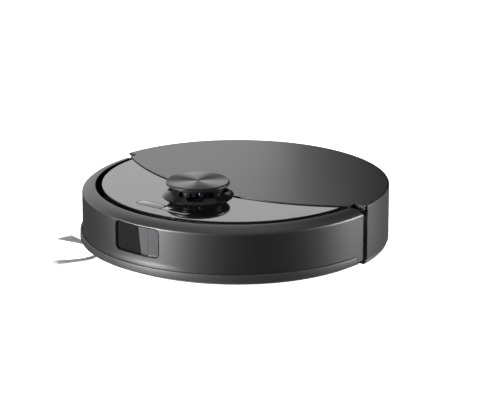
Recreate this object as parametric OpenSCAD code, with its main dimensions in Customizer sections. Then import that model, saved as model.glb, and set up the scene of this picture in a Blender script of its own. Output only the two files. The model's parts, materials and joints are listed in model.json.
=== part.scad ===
// Round robot vacuum with a laser turret, a sprung front bumper and a lift-off lid.
// Millimetres. +Z is up, the floor is z = 0 and the front of the robot faces -Y.
// The origin is on the floor under the middle of the overall box.

/* [Round body] */
// Radius of the rear shell
shell_r = 173; // [165:0.5:208]
// How far the centre of the round body lies behind the origin
shell_y = 4; // [0:0.5:8]
// Height of the underside above the floor
ground_gap = 10; // [8:0.5:12]
// Height of the lid's top face above the floor
lid_top = 79.3; // [77:0.1:98]
// Thickness of the shell walls
wall = 2.5; // [2:0.1:3.2]
// Angle from straight ahead to the front edges of the rear shell
shell_edge_angle = 95.1; // [94.5:0.1:97]

/* [Lid and front panel] */
// Thickness of the lift-off lid
lid_t = 3; // [2.4:0.1:3.6]
// Radius of the glossy front panel
panel_r = 152; // [148:0.5:154]
// How far the lid stands above the front panel
panel_step = 1.1; // [0.5:0.1:2]
// Radius of the curved seam between the lid and the panel
seam_r = 271; // [240:1:320]
// Y of the point where the seam crosses the centre line
seam_y = -47; // [-52:1:-40]

/* [Bumper] */
// Outer radius of the bumper
bumper_r = 173.6; // [171:0.1:176]
// How far the bumper's centre lies ahead of the body's centre
bumper_ahead = 2.7; // [1:0.1:4]
// Angle from straight ahead to each end of the bumper
bumper_end_angle = 92.8; // [90:0.1:93]
// Radial width of the bumper's crowned rim
rim_w = 15.2; // [13.5:0.1:16]
// Height of the bottom of the bumper above the floor
bumper_bottom = 17; // [15:0.5:20]
// Height of the lip along the bottom of the bumper
lip_h = 9; // [6:0.5:12]
// How far the lip stands out from the bumper
lip_out = 2.9; // [1.5:0.1:4]
// How far the bumper can be pushed in
bumper_travel = 4.5; // [3:0.1:5]

/* [Sensor window] */
// Width of the window in the bumper
window_w = 62.6; // [50:0.2:76]
// Height of the window
window_h = 34; // [28:0.5:36]
// Height of the window's centre above the floor
window_z = 53.2; // [52:0.1:54]
// Corner radius of the window
window_corner = 6; // [3:0.5:8]

/* [Turret] */
// Y of the turret's axis
turret_y = -65; // [-70:0.5:-60]
// Radius of the turret's cap
cap_r = 35.6; // [30:0.2:43]
// Radius of the foot of the turret's skirt
skirt_r = 39.4; // [34:0.2:47.5]
// Height of the turret's cap above the front panel
turret_h = 17.3; // [15:0.1:21]
// Radius of the turning sensor head
head_r = 28.5; // [24:0.5:29]

/* [Buttons] */
// Length of the pill that the two buttons make together
pill_l = 74; // [60:1:89]
// Width of the pill
pill_w = 14.6; // [10:0.1:17.5]
// Y of the pill's long axis
pill_y = -124.2; // [-127:0.1:-118]
// How far each button goes down
button_travel = 0.8; // [0.4:0.1:1.2]

/* [Drive wheels] */
// Radius of the drive wheels
wheel_r = 35; // [29:0.5:38]
// Width of the tyres
wheel_w = 20; // [16:0.5:24]
// Distance from the centre line to the middle of each wheel
wheel_x = 114; // [112:1:118]
// Y of the wheel axles
wheel_y = 14; // [10:1:18]

/* [Brushes] */
// Radius of the main brush over its fins
roller_r = 23; // [19:0.5:25]
// Length of the main brush
roller_l = 168; // [140:1:172]
// Y of the main brush's axis
roller_y = -18; // [-22:1:-16]
// X of the side brush's axis
side_brush_x = -99; // [-101:0.5:-97]
// Y of the side brush's axis
side_brush_y = -111.5; // [-113:0.5:-110]
// Reach of the side brush's bundles
side_brush_reach = 79; // [66:0.5:80]

/* [Caster] */
// Radius of the caster wheel
caster_r = 14; // [11.5:0.5:15]
// Y of the caster's upright axis
caster_y = -118; // [-120:1:-112]

/* [Hidden] */
$fn = 96;

// Named clearances
seam_gap = 0.5;          // between the lid and what surrounds it
moving_gap = 0.3;        // between surfaces of different moving pieces
running = 0.05;          // radial clearance of a shaft in its hole
fit_gap = 0.2;           // between pieces of the same assembly
floor_gap = 1.2;         // between the brushes and the floor
eps = 0.01;              // overshoot of a cut

// Heights
panel_top = lid_top - panel_step;
deck_top = lid_top - lid_t - moving_gap;
deck_t = 3;
deck_bottom = deck_top - deck_t;
base_t = 3;
base_top = ground_gap + base_t;
shell_bottom = ground_gap + 6;
shell_rim = lid_top - 0.6;
turret_top = panel_top + turret_h;
cap_t = 4;
cap_bottom = turret_top - cap_t;
skirt_h = 5.8;
skirt_top = panel_top + skirt_h;
bumper_top = panel_top - 0.8;

// Radii
lid_r = shell_r - 1.7;
base_r = shell_r - 1.5;
front_wall_r = panel_r - 2;
front_base_r = shell_r - 10;
rim_r = bumper_r - rim_w;
panel_y = shell_y - 1.1;
bumper_y = shell_y - bumper_ahead;

// Places inside
turret_hole_r = head_r + 1.5;
lidar_base_r = head_r + 8;
bay_r = roller_r + 2;
bay_z = floor_gap + roller_r;
bay_front = roller_y - roller_r - 9;
bay_back = roller_y + roller_r + 7;
bay_half = roller_l / 2 + 4;
bin_w = 124;
bin_front = bay_back + 5;
bin_back = bin_front + 62;
bin_bottom = base_top + 4;
bin_top = deck_top - 3.5;
well_in = wheel_x - wheel_w / 2 - 13;
well_out = wheel_x + wheel_w / 2 + 5;
well_front = wheel_y - wheel_r - 14;
well_back = wheel_y + wheel_r + 4;
arm_t = 9;
arm_pivot_y = well_front + 15;
arm_pivot_z = wheel_r + 12;
axle_r = 4;
arm_pin_r = 3;
arm_gap = 2;
fan_x = -52;
fan_y = 122;
fan_r = 34;
duct_w = 52;
duct_low = 24;
duct_high = 42;
contact_w = 96;
contact_h = 26;
contact_x = 30;
contact_plate_w = 22;
contact_plate_h = 12;
contact_y = shell_y + sqrt(pow(shell_r, 2) - pow(contact_x + contact_plate_w / 2, 2)) - 1;
head_angle = 38.7;       // where the sensor head's aperture faces at rest
post_angles = [-10.3, 79.7, 169.7, 259.7];

// ---------- shared shapes ----------

module at_body() translate([0, shell_y, 0]) children();
module at_panel() translate([0, panel_y, 0]) children();
module at_bumper() translate([0, bumper_y, 0]) children();
module at_turret() translate([0, turret_y, 0]) children();

// A ring of cross-section children() that runs from -half to +half about straight ahead
module front_arc(half) rotate([0, 0, -90 - half]) rotate_extrude(angle = 2 * half) children();

// The same about straight behind
module rear_arc(half) rotate([0, 0, 90 - half]) rotate_extrude(angle = 2 * half) children();

// Turns what points to -Y so that it points to an angle measured from straight ahead
module towards(angle) rotate([0, 0, angle]) children();

module ring(outer, inner, h) {
    difference() {
        cylinder(r = outer, h = h);
        translate([0, 0, -eps]) cylinder(r = inner, h = h + 2 * eps);
    }
}

module rounded_rect(w, h, r) {
    square([w - 2 * r, h], center = true);
    square([w, h - 2 * r], center = true);
    for (sx = [-1, 1], sy = [-1, 1])
        translate([sx * (w / 2 - r), sy * (h / 2 - r)]) circle(r = r);
}

// A block with rounded upright corners, from y0 to y1 and z0 to z1
module block(x0, x1, y0, y1, z0, z1, r = 3) {
    translate([(x0 + x1) / 2, (y0 + y1) / 2, z0])
        linear_extrude(z1 - z0) rounded_rect(x1 - x0, y1 - y0, r);
}

// A rounded opening that is cut through the front along Y
module front_hole(w, h, r, z) {
    translate([0, 0, z]) rotate([90, 0, 0]) linear_extrude(2 * shell_r) rounded_rect(w, h, r);
}

// Everything ahead of the seam, moved back by a gap
module ahead_of_seam(gap, h) {
    difference() {
        translate([-2 * shell_r, -2 * shell_r, 0]) cube([4 * shell_r, 2.2 * shell_r, h]);
        translate([0, seam_y + seam_r, -eps]) cylinder(r = seam_r + gap, h = h + 2 * eps, $fn = 180);
    }
}

module pill(grow, h) {
    translate([0, pill_y, 0]) linear_extrude(h)
        rounded_rect(pill_l + 2 * grow, pill_w + 2 * grow, pill_w / 2 + grow - eps);
}

// Points of an arc about (cx, cy), for outlines
function arc(cx, cy, r, a0, a1, n) =
    [for (i = [0 : n]) let (a = a0 + (a1 - a0) * i / n) [cx + r * cos(a), cy + r * sin(a)]];

// ---------- casing ----------

module chassis() color([0.10, 0.10, 0.11]) {
    edge = 2.5;
    difference() {
        union() {
            at_body() translate([0, 0, ground_gap]) cylinder(r = front_base_r, h = base_t);
            at_body() rear_arc(180 - shell_edge_angle) polygon([
                [front_base_r - 8, ground_gap],
                [base_r - edge, ground_gap],
                [base_r, ground_gap + edge],
                [base_r, shell_bottom - 0.6],
                [base_r - wall, shell_bottom - 0.6],
                [base_r - wall, base_top],
                [front_base_r - 8, base_top]
            ]);
            at_panel() front_arc(shell_edge_angle) translate([front_wall_r - wall, base_top - eps])
                square([wall, deck_bottom - base_top + eps]);
            translate([side_brush_x, side_brush_y, ground_gap])
                cylinder(r = side_motor_r + fit_gap + wall, h = side_motor_top - ground_gap);
        }
        translate([side_brush_x, side_brush_y, base_top])
            cylinder(r = side_motor_r + fit_gap, h = side_motor_top);
        block(-bay_half, bay_half, bay_front, bay_back, 0, base_top + eps, 4);
        for (s = [-1, 1])
            block(min(s * well_in, s * well_out), max(s * well_in, s * well_out),
                  well_front, well_back, 0, base_top + eps, 4);
        translate([0, caster_y, 0]) cylinder(r = caster_cup_r + fit_gap, h = base_top + eps);
        translate([side_brush_x, side_brush_y, 0]) cylinder(r = side_hole_r, h = base_top + eps);
        for (a = cliff_angles)
            at_body() towards(a) translate([0, -cliff_r, 0])
                block(-cliff_w / 2 - fit_gap, cliff_w / 2 + fit_gap, -cliff_d / 2 - fit_gap,
                      cliff_d / 2 + fit_gap, 0, base_top + eps, 2);
        for (p = screw_places) translate([p[0], p[1], 0])
            cylinder(r = screw_r + 0.1, h = base_top + eps);
        front_hole(window_w - 4, window_h - 6, 4, window_z);
    }
}

module rear_shell() color([0.16, 0.16, 0.165]) {
    top_r = shell_r - lid_r - seam_gap;
    flange_in = front_wall_r + 3;
    ledge = shell_rim - 9;
    for (s = [-1, 1]) at_body() towards(s * (shell_edge_angle + 0.5))
        translate([-wall / 2, -shell_r + wall / 2, shell_bottom + 1])
            cube([wall, shell_r - wall / 2 - flange_in, ledge - shell_bottom - 2]);
    difference() {
        at_body() rear_arc(180 - shell_edge_angle) polygon(concat(
            [[shell_r - wall, shell_bottom], [shell_r - 0.5, shell_bottom], [shell_r, shell_bottom + 0.5]],
            arc(shell_r - top_r, shell_rim - top_r, top_r, 0, 90, 6),
            [[lid_r + seam_gap, shell_rim - 6], [shell_r - wall, ledge]]
        ));
        translate([0, shell_r, contact_z]) rotate([90, 0, 0])
            linear_extrude(60, center = true) rounded_rect(contact_w, contact_h, 4);
        for (s = [-1, 1]) at_body() towards(180 + s * vent_angle) vent_cut(fit_gap);
    }
}

module deck() color([0.07, 0.07, 0.075]) {
    difference() {
        union() {
            at_panel() translate([0, 0, deck_bottom]) cylinder(r = front_wall_r, h = deck_t);
            at_body() translate([0, 0, deck_bottom]) intersection() {
                cylinder(r = shell_r - wall - fit_gap, h = deck_t);
                translate([-shell_r, 12, -eps]) cube([2 * shell_r, shell_r, deck_t + 2 * eps]);
            }
        }
        at_turret() cylinder(r = turret_hole_r, h = lid_top);
        block(-bin_w / 2 - 2, bin_w / 2 + 2, bin_front - 2, bin_back + 2, 0, lid_top, 6);
        for (s = [-1, 1])
            translate([s * pill_l / 4, pill_y, 0]) cylinder(r = button_stem_r + 1, h = lid_top);
    }
}

module front_panel() color([0.05, 0.05, 0.055]) {
    edge = 0.8;
    difference() {
        intersection() {
            at_panel() rotate_extrude() polygon(concat(
                [[0, deck_top], [panel_r, deck_top]],
                arc(panel_r - edge, panel_top - edge, edge, 0, 90, 5),
                [[0, panel_top]]
            ));
            ahead_of_seam(seam_gap, lid_top);
        }
        at_turret() cylinder(r = skirt_r + fit_gap, h = lid_top);
        pill(moving_gap, lid_top);
    }
}

module lid() color([0.20, 0.20, 0.205]) {
    edge = 1;
    difference() {
        at_body() rotate_extrude() polygon(concat(
            [[0, lid_top - lid_t], [lid_r - edge, lid_top - lid_t], [lid_r, lid_top - lid_t + edge]],
            arc(lid_r - edge, lid_top - edge, edge, 0, 90, 5),
            [[0, lid_top]]
        ));
        ahead_of_seam(0, 2 * lid_top);
        at_turret() cylinder(r = skirt_r + seam_gap, h = 2 * lid_top);
        at_bumper() front_arc(bumper_end_angle + bumper_swing) translate([rim_r - 1, 0])
            square([rim_w + 5, 2 * lid_top]);
    }
}

// ---------- bumper ----------

crown_drop = 5.7;
crown_run = rim_w - 1.3;
crown_arc = (pow(crown_run, 2) + pow(crown_drop, 2)) / (2 * crown_drop);
crown_sweep = asin(crown_run / crown_arc);
shoulder = 2.6;
bumper_wall = 3;
bumper_swing = atan((bumper_travel + moving_gap) / rim_r);
end_corner = 7;

module bumper() color([0.13, 0.13, 0.14]) {
    difference() {
        at_bumper() front_arc(bumper_end_angle) polygon(concat(
            [[bumper_r - bumper_wall, bumper_bottom + 1], [bumper_r, bumper_bottom + 1]],
            arc(bumper_r - shoulder, bumper_top - crown_drop - 1.9, shoulder, 0, 90 - crown_sweep, 4),
            arc(rim_r + 0.4, bumper_top - crown_arc, crown_arc, 90 - crown_sweep, 90, 8),
            [[rim_r, bumper_top - 0.4], [rim_r, bumper_top - 3], [rim_r + 2.5, bumper_top - 4],
             [bumper_r - bumper_wall, bumper_top - 13]]
        ));
        front_hole(window_w, window_h, window_corner, window_z);
        for (s = [-1, 1]) at_bumper() towards(s * bumper_end_angle) end_rounding(s);
    }
}

// What is cut away to round the top corner at one end
module end_rounding(s) {
    translate([-s * end_corner, 0, bumper_top - end_corner]) rotate([90, 0, 0])
        linear_extrude(2 * bumper_r) difference() {
            translate([s > 0 ? 0 : -2 * end_corner, 0]) square([2 * end_corner, 2 * end_corner]);
            circle(r = end_corner);
        }
}

// The lip leans in at both ends
module bumper_lip() color([0.12, 0.12, 0.125]) {
    lip_top = bumper_bottom + lip_h;
    slant = 3;
    at_bumper() intersection() {
        front_arc(bumper_end_angle - 4) polygon([
            [bumper_r - bumper_wall + 1, bumper_bottom],
            [bumper_r + lip_out - 0.8, bumper_bottom],
            [bumper_r + lip_out, bumper_bottom + 1.2],
            [bumper_r + lip_out, lip_top - 0.8],
            [bumper_r + lip_out - 0.6, lip_top],
            [bumper_r + moving_gap, lip_top],
            [bumper_r + moving_gap, bumper_bottom + 1 - fit_gap],
            [bumper_r - bumper_wall + 1, bumper_bottom + 1 - fit_gap]
        ]);
        rotate([90, 0, 90]) linear_extrude(3 * bumper_r, center = true) polygon([
            [-2 * bumper_r, bumper_bottom - 1],
            [bumper_r * sin(bumper_end_angle - 90) - 8 + slant, bumper_bottom - 1],
            [bumper_r * sin(bumper_end_angle - 90) - 14 - slant, lip_top + 1],
            [-2 * bumper_r, lip_top + 1]
        ]);
    }
}

window_depth = 4;
frame_inset = 1.4;

// Black frame that lines the window's opening
module window_frame() color([0.02, 0.02, 0.022]) {
    difference() {
        intersection() {
            front_hole(window_w - 2 * fit_gap, window_h - 2 * fit_gap, window_corner, window_z);
            at_bumper() translate([0, 0, bumper_bottom])
                ring(bumper_r - 0.3, bumper_r - window_depth - 3, bumper_top);
        }
        front_hole(window_w - 2 * frame_inset - 2, window_h - 2 * frame_inset - 1,
                   window_corner - frame_inset, window_z);
    }
}

// Glass cover set back in the frame
module window_glass() color([0.05, 0.05, 0.06]) {
    intersection() {
        front_hole(window_w - 2 * frame_inset - 2 - fit_gap, window_h - 2 * frame_inset - 1 - fit_gap,
                   window_corner - frame_inset, window_z);
        at_bumper() translate([0, 0, bumper_bottom])
            ring(bumper_r - window_depth + 1.5, bumper_r - window_depth - 1, bumper_top);
    }
}

// Two switches on the chassis that the bumper reaches at the end of its travel
module bumper_switches() color([0.15, 0.15, 0.16]) {
    reach = bumper_r - bumper_wall - bumper_travel - 1.5;
    for (s = [-1, 1]) at_bumper() towards(s * 24) {
        translate([-7, -front_wall_r - 9, 30]) cube([14, 9, 8]);
        translate([3, -front_wall_r - 8, 34]) rotate([90, 0, 0])
            cylinder(r = 2, h = reach - front_wall_r - 8);
    }
}

// ---------- front sensors ----------

lens_z = window_z;
lens_bore_r = 7;
laser_bore_r = 4.5;
laser_x = 20;
lens_seat_y = panel_y - front_wall_r + 6;

module camera_module() color([0.09, 0.09, 0.1]) {
    difference() {
        translate([0, lens_seat_y + 4, lens_z]) rotate([90, 0, 0])
            linear_extrude(10) rounded_rect(54, 22, 3);
        translate([0, lens_seat_y, lens_z]) rotate([90, 0, 0]) cylinder(r = lens_bore_r, h = 12);
        for (s = [-1, 1]) translate([s * laser_x, lens_seat_y, lens_z])
            rotate([90, 0, 0]) cylinder(r = laser_bore_r, h = 12);
    }
}

module camera_lens() color([0.02, 0.03, 0.05]) {
    translate([0, lens_seat_y, lens_z]) rotate([90, 0, 0]) {
        cylinder(r = lens_bore_r - running, h = 5);
        cylinder(r = 5.6, h = 8);
        translate([0, 0, 8]) cylinder(r1 = 5, r2 = 2.5, h = 1.5);
    }
}

module line_lasers() color([0.30, 0.24, 0.12]) {
    for (s = [-1, 1]) translate([s * laser_x, lens_seat_y, lens_z]) rotate([90, 0, 0]) {
        cylinder(r = laser_bore_r - running, h = 4);
        cylinder(r = 3, h = 7);
    }
}

// ---------- turret ----------

module turret_skirt() color([0.04, 0.04, 0.045]) {
    top_r = cap_r - 3;
    flare = skirt_top - panel_top;
    at_turret() rotate_extrude() polygon(concat(
        [[turret_hole_r, deck_top], [skirt_r, deck_top], [skirt_r, panel_top + 0.6]],
        [for (i = [1 : 6]) let (t = i / 6)
            [top_r + (skirt_r - top_r) * pow(1 - t, 2), panel_top + 0.6 + (flare - 0.6) * t]],
        [[turret_hole_r, skirt_top]]
    ));
}

module turret_posts() color([0.03, 0.03, 0.035]) {
    post_outer = cap_r - 3;
    post_inner = turret_hole_r + 0.2;
    at_turret() intersection() {
        translate([0, 0, skirt_top]) ring(post_outer, post_inner, cap_bottom - skirt_top);
        union() {
            for (a = post_angles) towards(a)
                translate([-4, -cap_r, 0]) cube([8, cap_r - 20, turret_top]);
            translate([0, 0, skirt_top]) cylinder(r = cap_r, h = 1);
            translate([0, 0, cap_bottom - 1.2]) cylinder(r = cap_r, h = 1.2);
        }
    }
}

module turret_cap() color([0.33, 0.33, 0.34]) {
    bevel = 1.6;
    at_turret() difference() {
        rotate_extrude() polygon([
            [0, cap_bottom],
            [cap_r - 0.8, cap_bottom],
            [cap_r, cap_bottom + 0.8],
            [cap_r, turret_top - bevel],
            [cap_r - bevel, turret_top],
            [0, turret_top]
        ]);
        translate([0, 0, turret_top - 0.4]) cylinder(r = 3, h = 1);
    }
}

lidar_floor = deck_bottom - 14;
pulley_x = 48;
groove_r = head_r - 4;
groove_h = 3;
groove_low = lidar_floor + 5;
motor_pulley_r = 5;
motor_shaft_r = 1;
lidar_hub_r = 9;

module lidar_base() color([0.12, 0.12, 0.13]) {
    at_turret() difference() {
        union() {
            translate([0, 0, lidar_floor]) cylinder(r = lidar_base_r, h = 2.5);
            translate([0, 0, lidar_floor]) cylinder(r = lidar_hub_r, h = 9);
            block(20, pulley_x + 14, -13, 13, lidar_floor, lidar_floor + 2.5);
            translate([0, 0, lidar_floor]) ring(lidar_base_r, lidar_base_r - 2.5, deck_bottom - lidar_floor);
        }
        block(head_r - 12, head_r + 12, -21, 21, lidar_floor + 2.5, deck_bottom + 1);
        translate([pulley_x, 0, 0]) cylinder(r = 8.5, h = 100);
    }
}

// Turning head: a drum on a hollow hub with a belt groove below
module lidar_head() color([0.025, 0.025, 0.03]) {
    hub = lidar_hub_r + running;
    head_top = cap_bottom - 0.8;
    at_turret() towards(head_angle) difference() {
        union() {
            rotate_extrude() polygon([
                [hub, lidar_floor + 3.5],
                [head_r - 2, lidar_floor + 3.5],
                [groove_r, groove_low],
                [groove_r, groove_low + groove_h],
                [head_r - 2, lidar_floor + 9.5],
                [head_r - 1, lidar_floor + 9.5],
                [head_r - 1, panel_top],
                [head_r, panel_top],
                [head_r, head_top],
                [0, head_top],
                [0, lidar_floor + 9.5],
                [hub, lidar_floor + 9.5]
            ]);
        }
        translate([0, -head_r + 6, aperture_z]) rotate([90, 0, 0])
            linear_extrude(20) rounded_rect(aperture_w, aperture_h, 2.5);
    }
}

aperture_w = 18;
aperture_h = 8;
aperture_z = panel_top + 7.8;

module lidar_lens() color([0.06, 0.02, 0.03]) {
    at_turret() towards(head_angle) for (s = [-1, 1])
        translate([s * 4.4, -head_r + 6, aperture_z]) rotate([90, 0, 0]) {
            cylinder(r = 3.4, h = 2.5);
            translate([0, 0, 2.5]) cylinder(r1 = 3.1, r2 = 2, h = 0.8);
        }
}

module lidar_motor() color([0.55, 0.55, 0.57]) {
    at_turret() translate([pulley_x, 0, 0]) difference() {
        union() {
            translate([0, 0, lidar_floor - 9]) cylinder(r = 8.3, h = 11.5);
            translate([0, 0, lidar_floor + 2.5]) cylinder(r = 3, h = 1);
        }
        translate([0, 0, lidar_floor - 1]) cylinder(r = motor_shaft_r + running, h = 20);
    }
}

module lidar_motor_pulley() color([0.75, 0.62, 0.3]) {
    at_turret() translate([pulley_x, 0, 0]) {
        rotate_extrude() polygon([
            [0, lidar_floor + 3.8],
            [motor_pulley_r + 1, lidar_floor + 3.8],
            [motor_pulley_r, groove_low],
            [motor_pulley_r, groove_low + groove_h],
            [motor_pulley_r + 1, lidar_floor + 9.2],
            [0, lidar_floor + 9.2]
        ]);
        translate([0, 0, lidar_floor]) cylinder(r = motor_shaft_r, h = 5);
    }
}

belt_t = 1;
belt_big = groove_r + moving_gap;
belt_small = motor_pulley_r + moving_gap;
belt_tilt = acos((belt_big - belt_small) / pulley_x);

// Outline of the loop round both pulleys, grown outwards
function belt_loop(grow) = concat(
    arc(0, 0, belt_big + grow, belt_tilt, 360 - belt_tilt, 60),
    arc(pulley_x, 0, belt_small + grow, -belt_tilt, belt_tilt, 16));

// Flat belt in the two grooves, with a slack gap so that both pulleys turn freely
module lidar_belt() color([0.05, 0.05, 0.05]) {
    at_turret() translate([0, 0, groove_low + fit_gap])
        linear_extrude(groove_h - 2 * fit_gap) difference() {
            polygon(belt_loop(belt_t));
            polygon(belt_loop(0));
        }
}

// ---------- buttons ----------

button_stem_r = 4;

module button(side) {
    split = 0.4;
    intersection() {
        union() {
            translate([0, 0, deck_top + button_travel + moving_gap])
                pill(0, panel_top - deck_top - button_travel - moving_gap);
            translate([side * pill_l / 4, pill_y, deck_bottom - 3])
                cylinder(r = button_stem_r, h = deck_t + 3 + button_travel + 2 * moving_gap);
        }
        translate([side > 0 ? split : -pill_l - split, pill_y - pill_w, 0])
            cube([pill_l, 2 * pill_w, lid_top]);
    }
}

module button_left() color([0.05, 0.05, 0.055]) button(1);
module button_right() color([0.05, 0.05, 0.055]) button(-1);

// Board with a switch below each button's stem
module button_board() color([0.08, 0.25, 0.15]) {
    low = deck_bottom - 3 - button_travel - moving_gap;
    block(-32, 32, pill_y - 8, pill_y + 8, low - 4.6, low - 3, 1);
    for (s = [-1, 1]) translate([s * pill_l / 4, pill_y, low - 3]) {
        translate([-3, -3, 0]) cube([6, 6, 2]);
        cylinder(r = 1.6, h = 3);
    }
}

// ---------- main brush ----------

roller_shaft_r = 3;
bearing_r = 6.3;

module brush_housing() color([0.09, 0.09, 0.1]) {
    skin = 2;
    length = 2 * bay_half - 2 * fit_gap;
    difference() {
        union() {
            translate([-length / 2, roller_y, bay_z]) rotate([0, 90, 0])
                cylinder(r = bay_r + skin, h = length);
            block(-length / 2, length / 2, bay_front + fit_gap, bay_back - fit_gap, ground_gap, bay_z,
                  4 - fit_gap);
            translate([-duct_w / 2 - skin, roller_y, duct_low - skin])
                cube([duct_w + 2 * skin, bay_back - roller_y - fit_gap, duct_high - duct_low + 2 * skin]);
        }
        translate([-length / 2 + skin, roller_y, bay_z]) rotate([0, 90, 0])
            cylinder(r = bay_r, h = length - 2 * skin);
        translate([-length / 2 + skin, bay_front + skin + fit_gap, 0])
            cube([length - 2 * skin, bay_back - bay_front - 2 * skin - 2 * fit_gap, bay_z]);
        translate([-shell_r, -shell_r, -roller_r]) cube([2 * shell_r, 2 * shell_r, ground_gap + roller_r]);
        translate([-duct_w / 2, roller_y, duct_low])
            cube([duct_w, 60, duct_high - duct_low]);
        translate([-length, roller_y, bay_z]) rotate([0, 90, 0])
            cylinder(r = bearing_r + fit_gap, h = 2 * length);
    }
}

// Frame that clips over the mouth of the brush bay
module brush_guard() color([0.55, 0.16, 0.08]) {
    low = ground_gap - 1.8;
    side_rim = 4.5;
    difference() {
        block(-bay_half - side_rim, bay_half + side_rim, bay_front - 5, bay_back + 4, low, ground_gap, 6);
        block(-bay_half + 4, bay_half - 4, bay_front + 3, bay_back - 3, low - eps, ground_gap + eps, 4);
    }
}

module brush_bearings() color([0.75, 0.75, 0.76]) {
    for (s = [-1, 1]) translate([s * (bay_half - 1.2), roller_y, bay_z]) rotate([0, s * -90, 0])
        difference() {
            union() {
                cylinder(r = bearing_r, h = 2.2, center = true);
                translate([0, 0, 1]) cylinder(r = 9, h = 1.6);
            }
            cylinder(r = roller_shaft_r + running, h = 10, center = true);
        }
}

module main_brush_core() color([0.22, 0.22, 0.24]) {
    translate([0, roller_y, bay_z]) rotate([0, 90, 0]) {
        translate([0, 0, -roller_l / 2]) cylinder(r = roller_r - 10, h = roller_l);
        translate([0, 0, -bay_half]) cylinder(r = roller_shaft_r, h = 2 * bay_half);
    }
}

// Six straight rubber fins round the core
module main_brush_fins() color([0.55, 0.16, 0.08]) {
    fin_t = 2.4;
    translate([0, roller_y, bay_z]) rotate([0, 90, 0]) translate([0, 0, -roller_l / 2 + 2])
        difference() {
            union() {
                cylinder(r = roller_r - 8.5, h = roller_l - 4);
                for (a = [0 : 60 : 300]) rotate([0, 0, a + 30])
                    translate([0, -fin_t / 2, 0]) cube([roller_r - 0.2, fin_t, roller_l - 4]);
            }
            translate([0, 0, -eps]) cylinder(r = roller_r - 10, h = roller_l);
        }
}

// It lies on the bay, under the deck and just behind the sensor's base
module main_brush_motor() color([0.5, 0.5, 0.52]) {
    low = bay_z + bay_r + 2 + fit_gap;
    motor_r = (deck_bottom - fit_gap - low) / 2;
    base_clearance = 1.8;
    motor_y = turret_y + lidar_base_r + base_clearance + motor_r;
    translate([52, motor_y, low + motor_r]) rotate([0, 90, 0]) {
        translate([0, 0, -44]) cylinder(r = motor_r - 1.5, h = 44);
        cylinder(r = motor_r, h = 32);
    }
}

// ---------- side brush ----------

side_shaft_r = 2.5;
side_hole_r = 7;
side_motor_r = 11;
side_motor_top = 42;

module side_brush_motor() color([0.14, 0.14, 0.15]) {
    translate([side_brush_x, side_brush_y, base_top + fit_gap]) difference() {
        union() {
            cylinder(r = side_motor_r, h = 14);
            cylinder(r = side_motor_r - 2, h = side_motor_top - base_top);
        }
        translate([0, 0, -eps]) cylinder(r = side_shaft_r + running, h = 12);
    }
}

module side_brush_hub() color([0.20, 0.20, 0.21]) {
    translate([side_brush_x, side_brush_y, 0]) {
        rotate_extrude() polygon([
            [0, 4.2], [8, 4.2], [12, 5.6], [13.5, 8], [13.5, ground_gap - 1], [0, ground_gap - 1]
        ]);
        translate([0, 0, ground_gap - 2]) cylinder(r = side_shaft_r, h = base_t + 12);
    }
}

// One bundle, as a flat strip that widens, droops to the floor and bends sideways
bundle_headings = [171, 290, 48];
bundle_bends = [2, 39, 22];
bundle_lengths = [1, 0.845, 0.95];
bundle_tips = [12, 8, 11];

module bundle(heading, bend, length, tip) {
    start = 11;
    reach = side_brush_reach * length;
    n = 8;
    path = [for (i = [0 : n]) let (t = i / n, r = start + (reach - start) * t,
                                   a = heading - bend * t * t * (3 - 2 * t))
        [r * cos(a), r * sin(a), 6.2 - 4.4 * t]];
    half = [for (i = [0 : n]) 2.2 + (tip - 2.2) * pow(i / n, 1.6)];
    side = [for (i = [0 : n]) let (a = path[max(i - 1, 0)], b = path[min(i + 1, n)], d = norm(b - a))
        [-(b[1] - a[1]) / d, (b[0] - a[0]) / d, 0]];
    thick = [for (i = [0 : n]) 1.1 - 0.6 * i / n];
    points = [for (i = [0 : n]) each [
        path[i] + side[i] * half[i] + [0, 0, thick[i]],
        path[i] - side[i] * half[i] + [0, 0, thick[i]],
        path[i] - side[i] * half[i] - [0, 0, thick[i]],
        path[i] + side[i] * half[i] - [0, 0, thick[i]]
    ]];
    faces = [
        [0, 1, 2, 3],
        [for (k = [3 : -1 : 0]) 4 * n + k],
        for (i = [0 : n - 1], k = [0 : 3], flip = [0, 1])
            flip == 0 ? [4 * i + k, 4 * i + 4 + k, 4 * i + (k + 1) % 4]
                      : [4 * i + 4 + k, 4 * i + 4 + (k + 1) % 4, 4 * i + (k + 1) % 4]
    ];
    polyhedron(points = points, faces = faces, convexity = 4);
}

module side_brush_bundles() color([0.72, 0.72, 0.72]) {
    translate([side_brush_x, side_brush_y, 0])
        for (i = [0 : 2])
            bundle(bundle_headings[i], bundle_bends[i], bundle_lengths[i], bundle_tips[i]);
}

// ---------- drive wheels ----------

module wheel_housings() color([0.09, 0.09, 0.1]) {
    skin = 2;
    for (s = [-1, 1]) mirror([s < 0 ? 1 : 0, 0, 0]) difference() {
        block(well_in - skin, well_out + skin, well_front - skin, well_back + skin,
              base_top + fit_gap, deck_bottom - fit_gap, 5);
        block(well_in, well_out, well_front, well_back, 0, deck_bottom - skin - fit_gap, 4);
        translate([0, arm_pivot_y, arm_pivot_z]) rotate([0, 90, 0])
            cylinder(r = arm_pin_r + running, h = well_in + 1);
    }
}

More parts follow.
